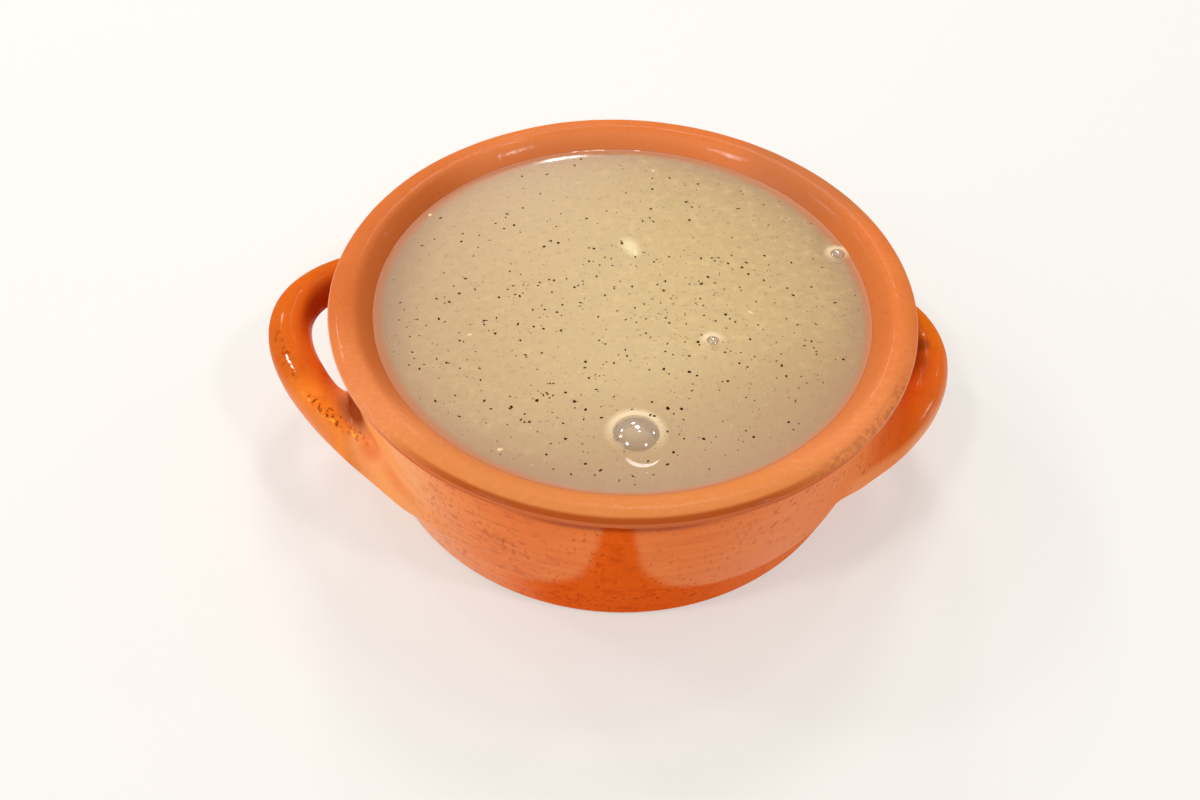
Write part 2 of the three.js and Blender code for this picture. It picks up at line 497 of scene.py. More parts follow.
# One bubble's film: a cap of a sphere, cut at the soup and given its thin wall
def makeFilm(name, bubble):
    radius, height = bubble["radius"], bubble["height"]
    capRadius = (radius ** 2 + height ** 2) / (2 * height)
    base = soupLevel + bubble["collar"] * 0.6
    rows = 24 if radius > 1 else 12
    centre = Vector((bubble["x"], bubble["y"], base + height - capRadius)) * mm
    film = addPrimitive(
        bpy.ops.mesh.primitive_uv_sphere_add, segments=64 if radius > 1 else 24, ring_count=rows * 4,
        radius=capRadius * mm, location=centre)
    film.name = name
    bpy.ops.object.transform_apply(location=True, rotation=True, scale=True)
    bpy.ops.object.mode_set(mode="EDIT")
    bpy.ops.mesh.select_all(action="SELECT")
    bpy.ops.mesh.bisect(plane_co=(0, 0, (base - 0.1) * mm), plane_no=(0, 0, 1), clear_inner=True)
    bpy.ops.transform.resize(value=(1, bubble.get("depth", 1.0), 1),
                             center_override=(0, bubble["y"] * mm, 0))
    bpy.ops.object.mode_set(mode="OBJECT")
    applyModifier(film, "SOLIDIFY", thickness=soupSizes["filmThickness"] * mm, offset=-1)
    bpy.ops.object.shade_smooth()
    return film


films = [makeFilm(name, bubble) for name, bubble in bubbles.items()]
print("bubbles blown")

# Flecks of cream foam: place, width, length, height and turn. The first is large, the others are dots.
foamFlecks = [
    {"x": 2.9, "y": 17.3, "width": 1.7, "length": 4.6, "height": 0.3, "turn": 10.0},
    {"x": -25.9, "y": -53.4, "width": 1.5, "length": 1.3, "height": 0.3, "turn": 0.0},
    {"x": 33.1, "y": -4.6, "width": 1.9, "length": 0.7, "height": 0.25, "turn": -35.0},
    {"x": 7.1, "y": 54.2, "width": 0.8, "length": 1.4, "height": 0.25, "turn": 10.0},
    {"x": -55.1, "y": 28.8, "width": 1.1, "length": 1.3, "height": 0.25, "turn": 0.0},
    {"x": -37.6, "y": -17.5, "width": 1.6, "length": 0.8, "height": 0.22, "turn": 25.0},
]


# Each fleck is a flat drop, broad at the back and narrow in front, and they are joined as one piece
def makeFoam():
    drops = []
    for sizes in foamFlecks:
        fineness = 5 if sizes["width"] > 2 else 3
        drop = addPrimitive(bpy.ops.mesh.primitive_ico_sphere_add, subdivisions=fineness, radius=1)
        points = readPoints(drop)
        turn = radians(sizes["turn"])
        for index, point in enumerate(points):
            place = Vector(point)
            flat = Vector((place.x, place.y, sizes["x"]))
            lobe = 1 + 0.22 * noise.noise(flat * 1.3)
            across = place.x * lobe * (1 + 0.4 * place.y) * sizes["width"] / 2
            along = place.y * lobe * sizes["length"] / 2
            points[index] = (across * cos(turn) - along * sin(turn) + sizes["x"],
                             across * sin(turn) + along * cos(turn) + sizes["y"],
                             place.z * sizes["height"] + soupLevel - 0.05)
        writePoints(drop, points * mm)
        bpy.ops.object.shade_smooth()
        drops.append(drop)
    foam = drops[0]
    foam.name = "CreamFoam"
    selectOnly(foam)
    for drop in drops[1:]:
        drop.select_set(True)
    bpy.ops.object.join()
    return foam


foam = makeFoam()

speckSizes = {
    "seed": 23,
    "count": 1150,
    "smallest": 0.22,  # width in millimetres
    "largest": 1.0,
    "crowding": 2.7,  # the higher, the more of them are small
    "flatness": 0.35,
    "edge": 61.5,
    "gathered": 0.3,  # share of them that lies in the patches
}
moteSizes = {
    "seed": 5,
    "count": 260,
    "smallest": 0.18,
    "largest": 0.5,
    "crowding": 2.0,
    "flatness": 0.3,
    "edge": 61.0,
    "gathered": 0.25,
}
grainShapes = {
    "patches": 18,
    "patchReach": 45,  # of their middles from the bowl's, each way
    "patchWidth": 8,
    "stretch": (0.45, 1.0),  # width as a share of length
    "corners": (0.6, 1.3),  # how far each corner is pushed in or out
    "bubbleMargin": 0.6,
    "sparse": (0.2, 0.4, 0.1),  # share left out in the middle, and what it gains to the back and right edge
}


# Small uneven grains over the soup, joined as one mesh. Some of them gather in loose patches.
def scatterGrains(name, sizes):
    grains = addPrimitive(bpy.ops.mesh.primitive_ico_sphere_add, subdivisions=1, radius=1)
    grains.name = name
    shape = readPoints(grains)
    faces = np.array([list(face.vertices) for face in grains.data.polygons])
    draw = Random(sizes["seed"])
    wide, blur, margin = [grainShapes[key] for key in ("patchReach", "patchWidth", "bubbleMargin")]
    middle, back, right = grainShapes["sparse"]
    patches = [(draw.uniform(-wide, wide), draw.uniform(-wide, wide)) for _ in range(grainShapes["patches"])]
    span = sizes["largest"] - sizes["smallest"]
    allPoints, allFaces = [], []
    while len(allPoints) < sizes["count"]:
        reach = sizes["edge"] * sqrt(draw.random())
        turn = draw.uniform(0, 2 * pi)
        x, y = reach * cos(turn), reach * sin(turn)
        if draw.random() < sizes["gathered"]:
            patch = draw.choice(patches)
            x, y = patch[0] + draw.gauss(0, blur), patch[1] + draw.gauss(0, blur)
        width = sizes["smallest"] + span * draw.random() ** sizes["crowding"]
        stretch, spin = draw.uniform(*grainShapes["stretch"]), draw.uniform(0, pi)
        jitter = [draw.uniform(*grainShapes["corners"]) for _ in shape]
        # fewer of them lie at the back and at the right
        sparse = draw.random() < middle + back * y / sizes["edge"] + right * x / sizes["edge"]
        onBubble = any(np.hypot(x - b["x"], y - b["y"]) < b["radius"] + margin for b in bubbles.values())
        if np.hypot(x, y) > sizes["edge"] or onBubble or sparse:
            continue
        grain = shape * np.array(jitter)[:, None] * width / 2
        grain[:, 1] *= stretch
        grain[:, 2] *= sizes["flatness"]
        lift = soupLift(np.array([[x, y, 0]]) * mm)[0]
        level = soupLevel + lift + width * sizes["flatness"] * 0.1
        placed = np.column_stack([grain[:, 0] * cos(spin) - grain[:, 1] * sin(spin) + x,
                                  grain[:, 0] * sin(spin) + grain[:, 1] * cos(spin) + y,
                                  grain[:, 2] + level])
        allFaces.append(faces + len(allPoints) * len(shape))
        allPoints.append(placed * mm)
    grains.data.clear_geometry()
    grains.data.from_pydata(np.concatenate(allPoints).tolist(), [], np.concatenate(allFaces).tolist())
    grains.data.update()
    return grains


specks = scatterGrains("WalnutSpecks", speckSizes)
motes = scatterGrains("PaleMotes", moteSizes)
print("specks and motes scattered:", len(specks.data.polygons) + len(motes.data.polygons), "faces")


# Materials


def hexColour(code):
    values = [int(code[i:i + 2], 16) / 255 for i in (1, 3, 5)]
    return [v / 12.92 if v <= 0.04045 else ((v + 0.055) / 1.055) ** 2.4 for v in values] + [1]


# Links a node's inputs, from a socket or from another node's first output in use
def linkInputs(tree, node, links):
    for name, source in links.items():
        if isinstance(source, bpy.types.Node):
            source = next(output for output in source.outputs if output.enabled)
        tree.links.new(source, node.inputs[name])


# Adds a node, sets its values by name or place, links its inputs and fills in a ramp's stops
def addNode(tree, kind, settings=None, links=None, stops=None):
    node = tree.nodes.new("ShaderNode" + kind)
    for name, value in (settings or {}).items():
        if isinstance(name, str) and hasattr(node, name):
            setattr(node, name, value)
        else:
            node.inputs[name].default_value = value
    linkInputs(tree, node, links or {})
    if stops:
        ramp = node.color_ramp.elements
        while len(ramp) < len(stops):
            ramp.new(1)
        for element, (position, value) in zip(ramp, stops):
            element.position = position
            element.color = hexColour(value) if isinstance(value, str) else (value, value, value, 1)
    return node


def newMaterial(name, settings):
    material = bpy.data.materials.new(name)
    material.use_nodes = True
    tree = material.node_tree
    tree.nodes.clear()
    shader = addNode(tree, "BsdfPrincipled", settings)
    addNode(tree, "OutputMaterial", links={"Surface": shader})
    return material, tree, shader


def dress(piece, material):
    piece.data.materials.clear()
    piece.data.materials.append(material)
    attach(piece, "root")


# Paints layers over a colour, one after another: where each lies, how strongly, and its tone
def paintLayers(tree, colour, layers):
    for share, strength, tone in layers:
        depth = addNode(tree, "Math", {"operation": "MULTIPLY", 1: strength}, {0: share})
        colour = addNode(tree, "Mix", {"data_type": "RGBA", 7: hexColour(tone)}, {0: depth, 6: colour})
    return colour


def glazedEarthenware():
    # Red earthenware under a clear lead-free glaze: the wall and handles look wet and deep orange,
    # the lip is only thinly glazed and looks peach and satin, and the foot is bare clay.
    material, tree, shader = newMaterial("glazedEarthenware", {
        "IOR": 1.5, "Specular IOR Level": 0.0, "Coat Roughness": 0.05, "Coat IOR": 1.5})
    place = addNode(tree, "TexCoord").outputs["Object"]
    across, depth, height = addNode(tree, "SeparateXYZ", links={0: place}).outputs
    flat = addNode(tree, "CombineXYZ", links={0: across, 1: depth})
    radius = addNode(tree, "VectorMath", {"operation": "LENGTH"}, {0: flat})

    # patterns, at their real sizes
    cloudy = addNode(tree, "TexNoise", {"Scale": 55, "Detail": 4, "Roughness": 0.6}, {"Vector": place})
    mottle = addNode(tree, "TexNoise", {"Scale": 260, "Detail": 4, "Roughness": 0.65}, {"Vector": place})
    grit = addNode(tree, "TexNoise", {"Scale": 700, "Detail": 3, "Roughness": 0.6}, {"Vector": place})
    tall = addNode(tree, "Mapping", {"Scale": (1, 1, 0.6)}, {"Vector": place})
    dashes = addNode(tree, "TexNoise", {"Scale": 800, "Detail": 2, "Roughness": 0.6}, {"Vector": tall})
    rings = addNode(tree, "Mapping", {"Scale": (0.06, 0.06, 1)}, {"Vector": place})
    throwing = addNode(tree, "TexNoise", {"Scale": 620, "Detail": 3, "Roughness": 0.6},
                       {"Vector": rings})

    # In the middle of the front a darker orange is painted between two bounds that open out downwards: a
    # painted dark reflection on the wall
    aside = addNode(tree, "Math", {"operation": "SUBTRACT", 1: 1.6 * mm}, {0: across})
    aside = addNode(tree, "Math", {"operation": "ABSOLUTE"}, {0: aside})
    rise = addNode(tree, "Math", {"operation": "SUBTRACT", 1: 10 * mm}, {0: height})
    behind = addNode(tree, "Math", {"operation": "MAXIMUM", 1: 0.0}, {0: depth})
    apart = addNode(tree, "Math", {"operation": "ADD"}, {0: aside, 1: behind})
    spread = addNode(tree, "Math", {"operation": "MULTIPLY", 1: 1 / mm}, {0: apart})
    bound = addNode(tree, "Math", {"operation": "MULTIPLY"}, {0: rise, 1: spread})
    bound = addNode(tree, "Math", {"operation": "MULTIPLY_ADD", 1: 90 * mm}, {0: mottle, 2: bound})
    # Places on it, each an ellipsoid: its centre, turn in degrees and half lengths. Reach is 1 at its skin
    reach = {}
    for name, (centre, turn, halves) in {
        # painted gold glints and brown specks lie along the crest of the larger handle's front, on a lighter
        # orange that is painted light
        "chain": ((-70.6, -34.5, 33.0), (0, 0, -36), (15.0, 1.6, 6.0)),
        # painted shadow: between the lip and that handle's front root the wall lies in a dark hollow
        "hollowShadow": ((-65.1, -32.7, 36.3), (0, 0, -62), (10.4, 5.2, 6.2)),
        # painted shade runs on from there, in the fold between the root and the wall
        "creaseShade": ((-52.3, -50.2, 31.0), (0, 25.7, -46), (11.0, 6.0, 3.0)),
        # broken streaks of thick glaze follow the larger handle's outer side
        "streak": ((-86.8, -16.0, 36.5), (0, 0, -60), (11.5, 2.2, 6.0)),
    }.items():
        inner = addNode(tree, "Mapping", {
            "vector_type": "TEXTURE", "Location": Vector(centre) * mm,
            "Rotation": [radians(angle) for angle in turn], "Scale": Vector(halves) * mm}, {"Vector": place})
        reach[name] = addNode(tree, "VectorMath", {"operation": "LENGTH"}, {0: inner})
    # A patch of deeper orange lies in front of the hollow. On the smaller handle a dark mark of painted
    # shade lies by the lip, and a thick drop lies lower down
    for name, centre in {
        "patch": (-59.5, -42.8, 33.8), "shadeSpot": (80.9, 0.6, 34.5), "drop": (80.0, -21.5, 32.5),
    }.items():
        there = Vector(centre) * mm
        reach[name] = addNode(tree, "VectorMath", {"operation": "DISTANCE", 1: there}, {0: place})
    # Each mask reads one of these and rises from none at its first size to full at its second
    mask = {}
    for name, (source, none, full) in {
        "upper": (height, 50.3, 51.3), "inside": (radius, 72.2, 71.6), "abovePour": (height, 46.5, 47.2),
        "inset": (radius, 74.9, 74.0), "front": (depth, -38, -60), "frontHalf": (depth, -5, -62),
        "shoulderIn": (radius, 72.7, 73.6), "shoulderOut": (radius, 75.1, 74.6),
        "shoulderUp": (height, 50.2, 51.0), "edgeIn": (radius, 74.3, 74.75),
        "edgeOut": (radius, 75.6, 75.2), "edgeUp": (height, 49.8, 50.4), "edgeDown": (height, 52.2, 51.7),
        "bare": (height, 1.6, 0.7), "handle": (radius, 74.6, 79.0), "lensUp": (height, 45.6, 47.4),
        "lensDown": (height, 50.2, 49.6), "lensIn": (aside, 32, 10), "deep": (bound, 215, 135),
        "bandEnd": (across, -30, -12), "bandNear": (depth, 30, -30), "smudgeIn": (across, -8, -22),
        "smudgeOut": (across, -56, -42), "back": (depth, 30, 55), "left": (across, -40, -62),
        "lipOuter": (radius, 67, 69.5), "innerSlope": (radius, 69.5, 67.0),
        "stainIn": (radius, 71.6, 73.2), "stainRight": (across, 38, 50), "stainFront": (depth, -24, -33),
        "rightSide": (across, 68, 74), "rootX": (across, -38, -52), "rootY": (depth, -30, -44),
        "rootUp": (height, 15, 26), "rootOut": (radius, 83, 75.5), "gapRight": (radius, 83.6, 79.6),
        "gapLow": (height, 38.4, 35.4), "rollLow": (height, 35.5, 31), "frontRollY": (depth, -20, -31),
        "rightSpotShade": (reach["shadeSpot"], 3.4, 1.2), "rightDrop": (reach["drop"], 2.0, 1.2),
        "patch": (reach["patch"], 5.5, 2.0), "rightRootX": (across, 58, 66), "rimLow": (height, 32.2, 30),
        "rimOut": (radius, 72.4, 74.0), "rimRight": (across, 50, 58), "gapLeft": (across, -88.5, -84.5),
        "gapBack": (depth, -12, 3), "gapUp": (height, 26, 31), "gapNear": (depth, 24, 12),
        "leftSide": (across, -64, -69), "rightWallReflection": (across, 14, 50), "frontMost": (depth, -52, -68),
        "rightSlope": (across, 34, 56), "gapRightBack": (depth, -15, -4), "leftWallReflection": (across, -22, -55),
        "outerRoll": (radius, 79, 82), "nearer": (depth, 4, -8), "frontMid": (depth, -46, -64),
        "lipNear": (depth, -34, -12), "rimFace": (radius, 73.4, 74.3), "rightBack": (across, 24, 44),
        "rearward": (depth, 22, 44),
    }.items():
        mask[name] = addNode(tree, "MapRange", {"interpolation_type": "SMOOTHSTEP", 1: none * mm,
                                                2: full * mm}, {0: source})
    # These read a pattern instead
    for name, (source, none, full) in {
        "ringTone": (throwing, 0.38, 0.68), "patchy": (cloudy, 0.32, 0.56), "dash": (dashes, 0.585, 0.65),
        "speckle": (mottle, 0.5, 0.66), "pale": (grit, 0.52, 0.72), "dull": (grit, 0.48, 0.3),
        "sparkle": (grit, 0.59, 0.64), "gold": (grit, 0.57, 0.64), "brown": (grit, 0.45, 0.39),
        "chain": (reach["chain"], 1.0, 0.6), "streak": (reach["streak"], 1.0, 0.6),
        "hollowShadow": (reach["hollowShadow"], 1.0, 0.45), "creaseShade": (reach["creaseShade"], 1.0, 0.2),
        "broken": (grit, 0.47, 0.52), "blotch": (grit, 0.4, 0.6), "freckle": (dashes, 0.71, 0.76),
    }.items():
        mask[name] = addNode(tree, "MapRange", {1: none, 2: full}, {0: source})
    # And these hold where all of theirs do
    for name, members in {
        "slope": ("inside", "abovePour"),
        "shoulderShade": ("shoulderIn", "shoulderOut", "shoulderUp", "frontMost"),
        "edge": ("edgeIn", "edgeOut", "edgeUp", "edgeDown"),
        "lens": ("lensUp", "lensDown", "lensIn", "front"), "darkReflection": ("deep", "bandEnd", "bandNear"),
        "dashed": ("dash", "patchy"), "frontPale": ("frontHalf", "pale"),
        "backSlope": ("back", "innerSlope"), "leftSlope": ("left", "innerSlope"),
        "leftLip": ("left", "lipOuter", "lipNear"), "frontRim": ("rimFace", "front"),
        "stain": ("stainIn", "stainRight", "stainFront", "blotch"),
        "darkReflectionSpeckle": ("darkReflection", "speckle"), "glintChain": ("chain", "gold"),
        "brownChain": ("chain", "brown"),
        "leftShade": ("handle", "gapLeft", "gapBack", "gapNear", "leftSide", "gapLow", "gapUp"),
        "handleFreckle": ("handle", "speckle"), "rightHandle": ("handle", "rightSide"),
        "root": ("rootX", "rootY", "rootUp"), "litRootFlare": ("root", "rootOut"),
        "smudge": ("ringTone", "speckle", "smudgeIn", "smudgeOut", "nearer"),
        "frontEdge": ("edge", "front"),
        "rightShade": ("handle", "gapRight", "rightSide", "gapRightBack", "gapNear"),
        "lowRollReflection": ("handle", "outerRoll", "nearer", "rollLow"),
        "litFrontRoll": ("handle", "leftSide", "frontRollY"), "dimLip": ("rightBack", "rearward"),
        "dimSlope": ("rightSlope", "innerSlope"), "streakWet": ("streak", "broken"),
        "streakBrown": ("streak", "brown"), "rightRoot": ("rightRootX", "nearer"),
        "rightRimReflection": ("rimLow", "rimOut", "rimRight", "nearer"),
    }.items():
        joined = mask[members[0]]
        for member in members[1:]:
            joined = addNode(tree, "Math", {"operation": "MULTIPLY"}, {0: joined, 1: mask[member]})
        mask[name] = joined
    lip = addNode(tree, "Math", {"operation": "MAXIMUM"}, {0: mask["upper"], 1: mask["slope"]})

    def painted(colour, layers):
        return paintLayers(tree, colour, [(mask[name], strength, tone) for name, strength, tone in layers])

    glaze = addNode(tree, "Mix", {"data_type": "RGBA", 6: hexColour("#f37420"), 7: hexColour("#fa9044")},
                    {0: cloudy})
    glaze = painted(glaze, [
        # the darker middle of the front, and the speckles in it: painted dark reflection
        ("ringTone", 0.3, "#d84c0c"), ("darkReflection", 0.88, "#ec5e12"), ("darkReflectionSpeckle", 0.45, "#cc4204"),
        # the paler left and right sides of the wall: painted pale reflection
        ("leftWallReflection", 0.6, "#ffae74"), ("rightWallReflection", 0.48, "#fc965e"), ("smudge", 0.6, "#b24a1a"),
        # the dark band below the lip's front overhang: painted shade
        # the lighter handle roots and their flare: painted light
        ("dashed", 0.5, "#ac3406"), ("root", 0.65, "#ffa662"), ("lens", 0.7, "#a43206"),
        # the lighter front of the larger handle's roll: painted light
        ("handle", 0.93, "#d4600e"), ("rightHandle", 0.6, "#f07a1a"), ("litFrontRoll", 0.92, "#ff8e30"),
        # painted shade in the fold between that root and the wall
        ("litRootFlare", 0.6, "#ffa662"), ("rightRoot", 0.7, "#ea641c"), ("creaseShade", 0.5, "#f0702c"),
        ("patch", 0.6, "#ea6618"), ("handleFreckle", 0.25, "#c84a06"), ("leftShade", 0.85, "#942e08"),
        # the dark hollow between the lip and the larger handle's front root: painted shadow
        # the paler low outer side of the rolls: painted reflection, where the coat also adds real gloss
        ("rightShade", 0.75, "#8e300c"), ("hollowShadow", 0.9, "#922c05"), ("lowRollReflection", 0.55, "#e47c3e"),
        # the dark mark on the smaller handle by the lip: painted shade
        # the pale rim of the smaller handle's front root: painted reflection
        ("rightSpotShade", 0.52, "#722406"), ("rightRimReflection", 0.7, "#ffa264"), ("chain", 0.5, "#ff7e20"),
        # the gold glints along the crest: painted highlights; the brown specks are the glaze's own
        ("glintChain", 0.95, "#ffc83c"), ("brownChain", 0.85, "#6a2002"), ("streakBrown", 0.6, "#7c2404"),
    ])
    satin = addNode(tree, "Mix", {"data_type": "RGBA", 6: hexColour("#d67036"), 7: hexColour("#e38246")},
                    {0: cloudy})
    satin = painted(satin, [
        # painted light and shade on the lip: lighter in front with pale painted sheen flecks, and on the
        # back slope; darker on the left slope, the left lip, the back right and the right inner slope
        ("dull", 0.25, "#c65e28"), ("frontHalf", 0.5, "#ef9a64"), ("frontPale", 0.3, "#f6b083"),
        ("frontMid", 0.5, "#d17f3a"), ("backSlope", 0.7, "#f08c52"), ("leftSlope", 0.6, "#bc5c28"),
        ("leftLip", 0.3, "#b85a2c"), ("dimLip", 0.6, "#bc7048"), ("dimSlope", 0.4, "#c06a36"),
        # the dark band just inside the lip's outer edge in front: painted shade and painted dark reflection
        ("stain", 0.55, "#a45a2a"), ("shoulderShade", 0.85, "#a8440f"), ("freckle", 0.4, "#8a4016"),
    ])
    colour = addNode(tree, "Mix", {"data_type": "RGBA"}, {0: lip, 6: glaze, 7: satin})
    colour = painted(colour, [
        # the pale line along the lip's outer edge: a painted highlight, painted over again in front by the
        # darker front layer
        ("edge", 0.5, "#f6ac86"), ("frontEdge", 0.85, "#d26634"), ("bare", 1.0, "#c98256"),
    ])

    satinShare = addNode(tree, "Math", {"operation": "MULTIPLY"}, {0: lip, 1: mask["inset"]})
    matt = addNode(tree, "Math", {"operation": "MAXIMUM"}, {0: satinShare, 1: mask["bare"]})
    roughness = addNode(tree, "Mix", {2: 0.26, 3: 0.5}, {0: matt})

    # how much clear glaze lies on top: a good deal on the wall and low on the handles, in patches on
    # the rest of them, and hardly any where it looks dry
    sideGloss = addNode(tree, "Mix", {2: 0.38, 3: 0.12}, {0: mask["rightSlope"]})
    dry = addNode(tree, "Math", {"operation": "MAXIMUM"}, {0: mask["darkReflection"], 1: mask["hollowShadow"]})
    dry = addNode(tree, "Math", {"operation": "MAXIMUM"}, {0: dry, 1: mask["frontRim"]})
    wallGloss = addNode(tree, "Mix", {3: 0.02}, {0: dry, 2: sideGloss})
    patchGloss = addNode(tree, "MapRange", {3: 0.03, 4: 0.5}, {0: mask["sparkle"]})
    drops = addNode(tree, "Math", {"operation": "MAXIMUM"}, {0: mask["rightDrop"], 1: mask["streakWet"]})
    outerGloss = addNode(tree, "Mix", {3: 0.55}, {0: mask["lowRollReflection"], 2: patchGloss})
    rollGloss = addNode(tree, "Mix", {3: 1.0}, {0: drops, 2: outerGloss})
    glossy = addNode(tree, "Mix", links={0: mask["handle"], 2: wallGloss, 3: rollGloss})
    wetSlope = addNode(tree, "MapRange", {3: 0.06, 4: 0.25}, {0: mask["backSlope"]})
    thinned = addNode(tree, "Mix", links={0: satinShare, 2: glossy, 3: wetSlope})
    gloss = addNode(tree, "Mix", {3: 0.0}, {0: mask["bare"], 2: thinned})

    relief = addNode(tree, "Math", {"operation": "MULTIPLY_ADD", 1: 0.5}, {0: throwing, 2: mottle})
    bump = addNode(tree, "Bump", {"Strength": 0.25, "Distance": 0.15 * mm}, {"Height": relief})
    ripple = addNode(tree, "Math", {"operation": "MULTIPLY_ADD", 1: 0.4}, {0: grit, 2: mottle})
    rough = addNode(tree, "MapRange", {3: 0.25 * mm, 4: 0.08 * mm}, {0: mask["streak"]})
    skin = addNode(tree, "Bump", {"Strength": 0.5}, {"Height": ripple, "Distance": rough})
    linkInputs(tree, shader, {"Base Color": colour, "Roughness": roughness, "Coat Weight": gloss,
                              "Normal": bump, "Coat Normal": skin})
    return material


# The wet crescent in front of each bubble lies in its outer circle and not in its inner one: x, y, radius
crescents = {
    "LargeBubble": {"outer": (6.2, -51.8, 4.6), "inner": (6.6, -50.6, 4.5)},
    "SmallBubble": {"outer": (23.1, -15.7, 2.0), "inner": (23.1, -15.0, 1.9)},
    "WallBubble": {"outer": (57.6, 18.5, 2.4), "inner": (57.7, 19.3, 2.4)},
}

# Small wet places where the soup climbs the wall at the back: x, y, radius
wetBeads = [(-16.4, 61.8, 1.5), (-13.2, 62.5, 1.2), (-10.6, 63.0, 1.5), (-8.6, 63.3, 1.2), (2.1, 63.8, 1.0)]


def thickWalnutSoup():
    # Ground walnut boiled in milk and rice: opaque, beige, a little mauve towards the wall, satin wet
    material, tree, shader = newMaterial("thickWalnutSoup", {
        "IOR": 1.38, "Specular IOR Level": 0.5, "Subsurface Weight": 0.12, "Subsurface Scale": 0.002,
        "Subsurface Radius": (1.0, 0.7, 0.45)})
    place = addNode(tree, "TexCoord").outputs["Object"]
    across, depth = addNode(tree, "SeparateXYZ", links={0: place}).outputs[:2]
    flat = addNode(tree, "CombineXYZ", links={0: across, 1: depth})
    radius = addNode(tree, "VectorMath", {"operation": "LENGTH"}, {0: flat})
    cloudy = addNode(tree, "TexNoise", {"Scale": 48, "Detail": 5, "Roughness": 0.62}, {"Vector": place})
    # the brown of the wall shines through the thin edge, most at the back
    edgeStart = addNode(tree, "MapRange", {1: -0.05, 2: 0.03, 3: 62.6 * mm, 4: 60.2 * mm}, {0: depth})
    leftStart = addNode(tree, "MapRange", {1: -0.01, 2: -0.05, 3: 62.6 * mm, 4: 60.6 * mm}, {0: across})
    edgeStart = addNode(tree, "Math", {"operation": "MINIMUM"}, {0: edgeStart, 1: leftStart})
    edgeShare = addNode(tree, "MapRange", {"interpolation_type": "SMOOTHSTEP", 2: 64.6 * mm},
                        {0: radius, 1: edgeStart})
    wander = addNode(tree, "Math", {"operation": "MULTIPLY_ADD", 1: 5 * mm}, {0: cloudy, 2: radius})
    span = addNode(tree, "MapRange", {1: 2.5 * mm, 2: (soupRadius + 2.5) * mm}, {0: wander})
    tone = addNode(tree, "ValToRGB", links={0: span}, stops=[
        (0.0, "#cbae74"), (0.5, "#c8aa72"), (0.8, "#c0a270"), (1.0, "#ae8e68")])
    curdle = addNode(tree, "TexNoise", {"Scale": 330, "Detail": 3, "Roughness": 0.6}, {"Vector": place})
    curdleTone = addNode(tree, "ValToRGB", links={0: curdle}, stops=[(0.3, 0.93), (0.7, 1.04)])
    colour = addNode(tree, "Mix", {"data_type": "RGBA", "blend_type": "MULTIPLY", 0: 1.0},
                     {6: tone, 7: curdleTone})
    half = addNode(tree, "Math", {"operation": "MULTIPLY", 1: 0.5}, {0: across})
    slant = addNode(tree, "Math", {"operation": "SUBTRACT"}, {0: half, 1: depth})
    husk = addNode(tree, "TexNoise", {"Scale": 820, "Detail": 2, "Roughness": 0.6}, {"Vector": place})
    wetReach = addNode(tree, "VectorMath", {"operation": "DISTANCE", 1: (-0.0140, 0.0600, 0)}, {0: flat})
    # Each of these rises from none at its first value to full at its second
    share = {}
    for name, (source, none, full) in {
        "husk": (husk, 0.6, 0.72), "smear": (curdle, 0.55, 0.72), "mauve": (across, 0.01, -0.055),
        "browner": (slant, 0.030, 0.054), "leftEnd": (across, -0.05, -0.064),
        "farOut": (radius, 0.057, 0.063), "wetPlace": (wetReach, 0.0165, 0.010),
        "wetStart": (radius, 0.0607, 0.0615), "wetEnd": (radius, 0.0632, 0.0623),
    }.items():
        share[name] = addNode(tree, "MapRange", {1: none, 2: full}, {0: source})
    # mauve at the left and towards the wall, browner in front at the right, clay-coloured at the very edge
    edgeColour = paintLayers(tree, colour, [
        (share["husk"], 0.45, "#8e6e4a"), (share["smear"], 0.25, "#dcc28e"),
        (share["mauve"], 0.5, "#c6a482"), (share["browner"], 0.6, "#b08a60"),
        (share["leftEnd"], 0.6, "#987a64"), (share["farOut"], 0.4, "#a88468"), (edgeShare, 1.0, "#c2703c"),
    ])

    # round each bubble a brighter cream ring is painted, most at the back: painted light on its collar. In
    # front of it lies a smooth wet crescent
    litRing, smooth, under = 0.0, 0.0, 0.0
    for name, crescent in crescents.items():
        bubble = bubbles[name]
        reach = bubble["radius"]
        front, rear = (bubble["y"] - reach) * mm, (bubble["y"] + reach) * mm
        behind = addNode(tree, "MapRange", {1: front, 2: rear, 3: 0.08, 4: 0.85}, {0: depth})
        masks = []
        for x, y, none, full in ((bubble["x"], bubble["y"], reach * 1.06 + 2.2, reach * 1.04 + 0.3),
                                 (*crescent["outer"], crescent["outer"][2] - 0.3),
                                 (*crescent["inner"], crescent["inner"][2] + 0.3)):
            centre = (x * mm, y * mm, 0)
            gap = addNode(tree, "VectorMath", {"operation": "DISTANCE", 1: centre}, {0: flat})
            masks.append(addNode(tree, "MapRange", {"interpolation_type": "SMOOTHSTEP", 1: none * mm,
                                                    2: full * mm}, {0: gap}))
            middleGap = gap if len(masks) == 1 else middleGap
        ring = addNode(tree, "Math", {"operation": "MULTIPLY"}, {0: masks[0], 1: behind})
        patch = addNode(tree, "Math", {"operation": "MULTIPLY"}, {0: masks[1], 1: masks[2]})
        litRing = joinMasks(tree, litRing, ring)
        smooth = joinMasks(tree, smooth, patch)
        # the soup inside each bubble's rim is painted darker: painted shade of its film
        inside = addNode(tree, "MapRange", {"interpolation_type": "SMOOTHSTEP", 1: reach * 1.02 * mm,
                                            2: reach * 0.8 * mm}, {0: middleGap})
        under = joinMasks(tree, under, inside)
